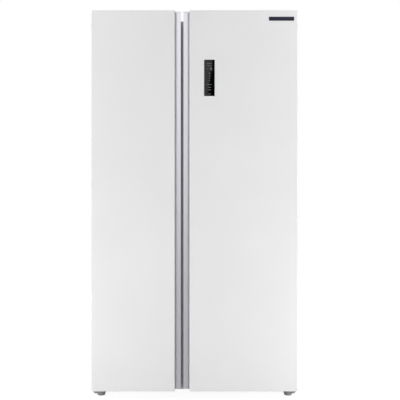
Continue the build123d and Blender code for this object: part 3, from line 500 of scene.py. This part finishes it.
def build_bin_bands():
    """Pale band along the rim of each bin, on the side away from the door."""
    bin_count, bin_height, bin_corner = 4, 0.105, 0.016
    band_height, proud, sunk, edge = 0.016, 0.002, 0.0005, 0.0007
    for side in ("left", "right"):
        node = f"{side}_door_bins"
        low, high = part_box(node)
        pitch = (high.z - low.z - bin_height) / (bin_count - 1)
        for index in range(bin_count):
            top = low.z + index * pitch + bin_height
            outline = rectangle(high.y - sunk, high.y + proud, top - band_height, top)
            shape = drawn_along_x(outline, low.x + bin_corner, high.x - bin_corner)
            ease(add_piece(f"{side}_bin_band_{index + 1}", shape, node, "white_plastic"), edge)


def digit_bars(mark, x, z, width, height, stroke):
    """Bars (x0, x1, z0, z1) of one seven bar digit whose lower left corner is at x, z."""
    bars_of = {"-": "g", "1": "bc", "8": "abcdefg"}
    right, top = x + width, z + height
    middle, half = z + height / 2, stroke / 2
    at_left, at_right = (x, x + stroke), (right - stroke, right)
    upper, lower = (middle + half, top - stroke), (z + stroke, middle - half)
    bars = {
        "a": (x, right, top - stroke, top),
        "b": at_right + upper,
        "c": at_right + lower,
        "d": (x, right, z, z + stroke),
        "e": at_left + lower,
        "f": at_left + upper,
        "g": (x, right, middle - half, middle + half),
    }
    return [bars[letter] for letter in bars_of[mark]]


def build_display_marks():
    """Dim printed marks: two rows of ticks, temperature digits, a column of signs and the touch bars."""
    low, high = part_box("display_panel")
    middle, front, top = (low.x + high.x) / 2, low.y, high.z
    thickness = 0.0001
    shape = bmesh.new()

    def bar(x0, x1, z0, z1):
        plate(shape, rectangle(x0, x1, z0, z1), front - thickness, front)

    def level_bar(x, half_width, drop, height):
        """Bar whose middle is at x, as far as the drop below the display's top."""
        z = top - drop
        bar(x - half_width, x + half_width, z - height / 2, z + height / 2)

    tick_drops, tick_count, tick_pitch, first_tick = (0.017, 0.0262), 4, 0.0056, -0.0085
    tick_half_width, tick_height = 0.0020, 0.0026
    for drop in tick_drops:
        for tick in range(tick_count):
            level_bar(middle + first_tick + tick * tick_pitch, tick_half_width, drop, tick_height)

    reading, reading_drop = "-18", 0.0465
    digit_width, digit_height, digit_gap, digit_stroke = 0.0058, 0.0120, 0.0022, 0.0018
    digit_pitch = digit_width + digit_gap
    start = middle - (len(reading) * digit_pitch - digit_gap) / 2
    for place, mark in enumerate(reading):
        x, z = start + place * digit_pitch, top - reading_drop
        for sides in digit_bars(mark, x, z, digit_width, digit_height, digit_stroke):
            bar(*sides)

    # Signs are stars: the drop below the top and the number of crossing strokes
    signs = ((0.0598, 3), (0.0713, 2), (0.0815, 1), (0.0920, 2))
    arm, half_stroke, layer = 0.0033, 0.0008, 0.00001
    for drop, strokes in signs:
        centre = Vector((middle, top - drop))
        for turn in range(strokes):
            angle = math.pi * turn / strokes
            ahead = Vector((math.cos(angle), math.sin(angle)))
            aside = Vector((-ahead.y, ahead.x))
            ends = rectangle(-arm, arm, -half_stroke, half_stroke)
            corners = [centre + along * ahead + across * aside for along, across in ends]
            plate(shape, corners, front - thickness - turn * layer, front)

    # Touch bars: the drop below the top and half the width
    touch_bars = ((0.1097, 0.0088), (0.1220, 0.0066), (0.1330, 0.0066), (0.1516, 0.0066))
    touch_height = 0.0022
    for drop, half_width in touch_bars:
        level_bar(middle, half_width, drop, touch_height)
    add_piece("display_marks", shape, "display_panel", "grey_plastic", "display_light")


build_grips()
build_gaskets()
build_bin_bands()
build_display_marks()
# Door pieces with eased edges: the width of the edge and its facets
door_edges = {
    "left_door_bins": (0.0006, 2),
    "right_door_bins": (0.0006, 2),
    "display_panel": (0.0005, 3),
    "badge_plate": (0.0004, 3),
}
for door_node, (edge_width, facets) in door_edges.items():
    dress(door_node, edge_width, facets)


# Cabinet


def build_drawer_grips():
    """Rounded pull along the top of each drawer's front."""
    inset, drop, edge = 0.03, 0.005, 0.0008
    proud, tall, nose = 0.009, 0.022, 0.002
    shoulder, hollow, roof = proud * 0.8, proud * 0.45, tall * 0.4
    drawers = [f"{room}_drawer_{level}" for room in ("freezer", "crisper") for level in ("lower", "upper")]
    for node in drawers:
        low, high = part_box(node)
        front, top = low.y, high.z - drop
        bottom = top - tall
        outline = [
            (front, top),
            (front - shoulder, top),
            (front - proud, top - nose),
            (front - proud, bottom + nose),
            (front - shoulder, bottom),
            (front - hollow, bottom),
            (front - hollow, top - roof),
            (front, top - roof),
        ]
        shape = drawn_along_x(outline, low.x + inset, high.x - inset)
        ease(add_piece(node + ".grip", shape, node, "white_plastic"), edge)
        dress(node, edge, segments=2)


def screw_shape():
    """Pan head with a cross shaped socket, its seat at height nought."""
    seat_radius, rim_radius, rim_height = 0.0045, 0.0046, 0.0008
    crown_radius, crown_height, top_radius, top_height = 0.0040, 0.0019, 0.0026, 0.0024
    socket_radius, socket_rim, socket_swing = 0.0017, 0.0025, 0.35
    floor_radius, floor_height, point_radius, point_height = 0.0014, 0.0012, 0.0004, 0.0009
    rows = [
        (seat_radius, 0.0, 0.0),
        (rim_radius, rim_height, 0.0),
        (crown_radius, crown_height, 0.0),
        (top_radius, top_height, 0.0),
        (socket_radius, socket_rim, socket_swing),
        (floor_radius, floor_height, socket_swing),
        (point_radius, point_height, 0.0),
    ]
    return turned(rows, steps=24, lobes=4)


def build_rear_screws():
    """Screws round the back panel and the cover of the machine room, facing the rear."""
    edge = 0.012
    panel_rows, panel_columns, cover_columns = 6, 5, 5

    def spread(start, end, count):
        """Even places from one edge to the other."""
        return [start + edge + index * (end - start - 2 * edge) / (count - 1) for index in range(count)]

    low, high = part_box("back_panel")
    places = []
    for z in spread(low.z, high.z, panel_rows):
        places += [("back_panel", low.x + edge, high.y, z), ("back_panel", high.x - edge, high.y, z)]
    for x in spread(low.x, high.x, panel_columns)[1:-1]:
        places.append(("back_panel", x, high.y, high.z - edge))
    low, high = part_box("rear_cover")
    for x in spread(low.x, high.x, cover_columns):
        places += [("rear_cover", x, high.y, high.z - edge), ("rear_cover", x, high.y, low.z + edge)]
    for index, (node, x, y, z) in enumerate(places):
        shape = screw_shape()
        for vertex in shape.verts:
            across, up, out = vertex.co
            vertex.co = (x - across, y + out, z + up)
        add_piece(f"rear_screw_{index + 1}", shape, node, "zinc_steel")


def build_back_beads():
    """Pressed stiffening beads on the back panel."""
    low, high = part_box("back_panel")
    margin, width, proud, corner = 0.06, 0.012, 0.0016, 0.04
    round_angle = 60
    middle = (low.z + high.z) / 2
    fields = ((low.z + margin, middle - margin / 2), (middle + margin / 2, high.z - margin))
    # Section of a bead: shares of its width and of its height
    section = ((0.0, 0.0), (0.25, 0.7), (0.5, 1.0), (0.75, 0.7), (1.0, 0.0))
    for index, (z0, z1) in enumerate(fields):
        shape = bmesh.new()
        loops = []
        for across, rise in section:
            inset = across * width
            x0, x1 = low.x + margin + inset, high.x - margin - inset
            outline = rounded_outline(x0, x1, z0 + inset, z1 - inset, corner - inset)
            loops.append([shape.verts.new((x, high.y + rise * proud, z)) for x, z in outline])
        for outer, inner in zip(loops, loops[1:]):
            bridge(shape, outer, inner)
        name = f"back_bead_{index + 1}"
        add_piece(name, shape, "back_panel", "zinc_steel", smooth_angle=round_angle)


def build_feet():
    """Turned feet with a fluted collar and a threaded stud."""
    tip_radius, tip_height, taper_top, collar_top = 0.0175, 0.002, 0.013, 0.026
    stud_radius, thread_depth, thread_pitch = 0.005, 0.0005, 0.00125
    flute_count, flute, edge = 24, 0.018, 0.001
    for side in ("left", "right"):
        node = f"levelling_foot_{side}"
        low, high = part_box(node)
        x, y, radius = (low.x + high.x) / 2, (low.y + high.y) / 2, (high.x - low.x) / 2
        collar = radius / (1 + flute)
        rows = [
            (tip_radius - edge, 0, 0),
            (tip_radius, edge, 0),
            (tip_radius, tip_height, 0),
            (collar - edge, taper_top - edge, 0),
            (collar, taper_top + edge, flute),
            (collar, collar_top - edge, flute),
            (collar - edge, collar_top, 0),
            (stud_radius, collar_top, 0),
        ]
        turns = int((high.z - collar_top) / thread_pitch)
        for half_turn in range(1, 2 * turns):
            groove = thread_depth * (half_turn % 2)
            rows.append((stud_radius - groove, collar_top + half_turn * thread_pitch / 2, 0))
        rows.append((stud_radius - thread_depth, high.z, 0))
        shape = turned(rows, steps=3 * flute_count, lobes=flute_count)
        for vertex in shape.verts:
            vertex.co += Vector((x, y, 0))
        piece = add_piece(node + ".turned", shape, node, slot_of[node])
        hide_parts(node)


build_drawer_grips()
build_rear_screws()
build_back_beads()
build_feet()
# Cabinet pieces with eased edges: the width of the edge
cabinet_edges = {
    "hinge_covers": 0.0012,
    "top_hinges": 0.0006,
    "bottom_hinges": 0.0008,
    "front_base_rail": 0.0008,
    "shelf_trims": 0.0014,
    "freezer_shelves": 0.0008,
    "fridge_shelves": 0.0008,
    "rear_roller_left": 0.001,
    "rear_roller_right": 0.001,
}
for cabinet_node, edge_width in cabinet_edges.items():
    dress(cabinet_node, edge_width)


# Studio


def by_light_path(tree, seen, mirrored, bounced):
    """One shader for the eye, also through glass, one for reflections and one for other light."""
    nodes, links = tree.nodes, tree.links
    path = nodes.new("ShaderNodeLightPath")
    gloss = nodes.new("ShaderNodeMixShader")
    links.new(path.outputs["Is Glossy Ray"], gloss.inputs["Fac"])
    links.new(bounced, gloss.inputs[1])
    links.new(mirrored, gloss.inputs[2])
    either = nodes.new("ShaderNodeMath")
    either.operation = "MAXIMUM"
    links.new(path.outputs["Is Camera Ray"], either.inputs[0])
    links.new(path.outputs["Is Transmission Ray"], either.inputs[1])
    eye = nodes.new("ShaderNodeMixShader")
    links.new(either.outputs["Value"], eye.inputs["Fac"])
    links.new(gloss.outputs["Shader"], eye.inputs[1])
    links.new(seen, eye.inputs[2])
    return eye.outputs["Shader"]


def floor_finish():
    """White to the eye, apart from the object's shadow; a softer tone for reflections and bounced light."""
    grain_per_metre = 2.0
    grain_dark, grain_pale = (0.43, 0.43, 0.44, 1.0), (0.47, 0.47, 0.48, 1.0)
    mirrored_strength, seen_strength = 0.45, 0.93
    shadow_tone = (0.2, 0.2, 0.2, 1.0)
    material = bpy.data.materials.new("studio_floor")
    material.use_nodes = True
    nodes, links = material.node_tree.nodes, material.node_tree.links
    nodes.clear()
    grain = nodes.new("ShaderNodeTexNoise")
    grain.inputs["Scale"].default_value = grain_per_metre
    ramp = nodes.new("ShaderNodeValToRGB")
    ramp.color_ramp.elements[0].color = grain_dark
    ramp.color_ramp.elements[1].color = grain_pale
    links.new(grain.outputs["Fac"], ramp.inputs["Fac"])
    bounced = nodes.new("ShaderNodeBsdfDiffuse")
    links.new(ramp.outputs["Color"], bounced.inputs["Color"])
    mirrored = nodes.new("ShaderNodeEmission")
    mirrored.inputs["Strength"].default_value = mirrored_strength
    glow = nodes.new("ShaderNodeEmission")
    glow.inputs["Strength"].default_value = seen_strength
    shaded = nodes.new("ShaderNodeBsdfDiffuse")
    shaded.inputs["Color"].default_value = shadow_tone
    seen = nodes.new("ShaderNodeAddShader")
    links.new(glow.outputs["Emission"], seen.inputs[0])
    links.new(shaded.outputs["BSDF"], seen.inputs[1])
    choice = by_light_path(
        material.node_tree,
        seen.outputs["Shader"],
        mirrored.outputs["Emission"],
        bounced.outputs["BSDF"],
    )
    out = nodes.new("ShaderNodeOutputMaterial")
    links.new(choice, out.inputs["Surface"])
    return material


def sheet(name, corners, material):
    """One flat face through the corners."""
    mesh = bpy.data.meshes.new(name)
    mesh.from_pydata(corners, [], [tuple(range(len(corners)))])
    mesh.materials.append(material)
    thing = bpy.data.objects.new(name, mesh)
    bpy.context.scene.collection.objects.link(thing)
    return thing


def build_floor():
    """Wide floor under the object's feet."""
    reach = 30.0
    corners = [(x, y, 0) for x, y in rectangle(-reach, reach, -reach, reach)]
    sheet("studio_floor", corners, floor_finish())


def build_flag():
    """Black card behind the camera, which the right part of the display mirrors."""
    dark = bpy.data.materials.new("flag_black")
    dark.use_nodes = True
    shader = dark.node_tree.nodes["Principled BSDF"]
    shader.inputs["Base Color"].default_value = (0, 0, 0, 1)
    shader.inputs["Specular IOR Level"].default_value = 0.0
    far, low, high = -5.4, 1.85, 2.75
    left_at_low, left_at_high, right = 0.075, 0.20, 0.45
    corners = [(left_at_low, far, low), (right, far, low), (right, far, high), (left_at_high, far, high)]
    flag = sheet("flag", corners, dark)
    flag.visible_camera = False
    flag.visible_diffuse = False
    flag.visible_transmission = False
    flag.visible_shadow = False


def soft_light(name, place, aim, width, height, watts):
    """Soft panel of light that no reflection shows."""
    lamp = bpy.data.lights.new(name, "AREA")
    lamp.shape = "RECTANGLE"
    lamp.size, lamp.size_y = width, height
    lamp.energy = watts
    thing = bpy.data.objects.new(name, lamp)
    thing.location = place
    thing.rotation_euler = (Vector(aim) - Vector(place)).to_track_quat("-Z", "Y").to_euler()
    thing.visible_glossy = False
    bpy.context.scene.collection.objects.link(thing)


def build_lights():
    """A high and a low panel on each side, and one behind the object."""
    aside, before, aim_before, wide, tall = 1.45, -1.22, -0.3, 0.8, 0.5
    sides = (("left", -1, 1.0), ("right", 1, 1.07))
    levels = (("high", 1.95, 11.1), ("low", 0.3, 12.8))
    for side, hand, share in sides:
        for level, height, watts in levels:
            place, aim = (hand * aside, before, height), (0.0, aim_before, height)
            soft_light(f"{level}_light_{side}", place, aim, wide, tall, watts * share)
    back_place, back_aim = (0.0, 3.0, 2.4), (0.0, 0.3, 0.9)
    back_wide, back_tall, back_watts = 2.4, 1.6, 25.0
    soft_light("back_light", back_place, back_aim, back_wide, back_tall, back_watts)


def build_world():
    """White to the eye and through glass; a gentle dusk-to-white sweep in reflections; even fill light."""
    white_strength, fill_strength = 1.0, 0.345
    dusk_slope, dusk_strength = -0.12, 0.70
    day_slope, day_strength = 0.25, 1.03
    world = bpy.data.worlds.new("studio")
    bpy.context.scene.world = world
    world.use_nodes = True
    nodes, links = world.node_tree.nodes, world.node_tree.links
    nodes.clear()
    white, fill, mirrored = (nodes.new("ShaderNodeBackground") for _ in range(3))
    for background in (white, fill, mirrored):
        background.inputs["Color"].default_value = (1, 1, 1, 1)
    white.inputs["Strength"].default_value = white_strength
    fill.inputs["Strength"].default_value = fill_strength
    where = nodes.new("ShaderNodeTexCoord")
    split = nodes.new("ShaderNodeSeparateXYZ")
    links.new(where.outputs["Generated"], split.inputs["Vector"])
    sweep = nodes.new("ShaderNodeMapRange")
    sweep.inputs["From Min"].default_value = dusk_slope
    sweep.inputs["From Max"].default_value = day_slope
    sweep.inputs["To Min"].default_value = dusk_strength
    sweep.inputs["To Max"].default_value = day_strength
    links.new(split.outputs["Z"], sweep.inputs["Value"])
    links.new(sweep.outputs["Result"], mirrored.inputs["Strength"])
    choice = by_light_path(
        world.node_tree,
        white.outputs["Background"],
        mirrored.outputs["Background"],
        fill.outputs["Background"],
    )
    out = nodes.new("ShaderNodeOutputWorld")
    links.new(choice, out.inputs["Surface"])


def build_camera():
    """Straight on before the door fronts, a little right of the middle."""
    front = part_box("right_door_skin")[0].y
    aside, height = 0.0245, 0.8925
    distance = 3.2
    seen_width = 1.766
    lens = bpy.data.cameras.new("camera")
    lens.sensor_width = 36.0
    lens.lens = lens.sensor_width * distance / seen_width
    camera = bpy.data.objects.new("camera", lens)
    camera.location = (aside, front - distance, height)
    camera.rotation_euler = (math.radians(90), 0, 0)
    bpy.context.scene.collection.objects.link(camera)
    bpy.context.scene.camera = camera


build_floor()
build_flag()
build_lights()
build_world()
build_camera()
bpy.context.scene.view_settings.view_transform = "Standard"
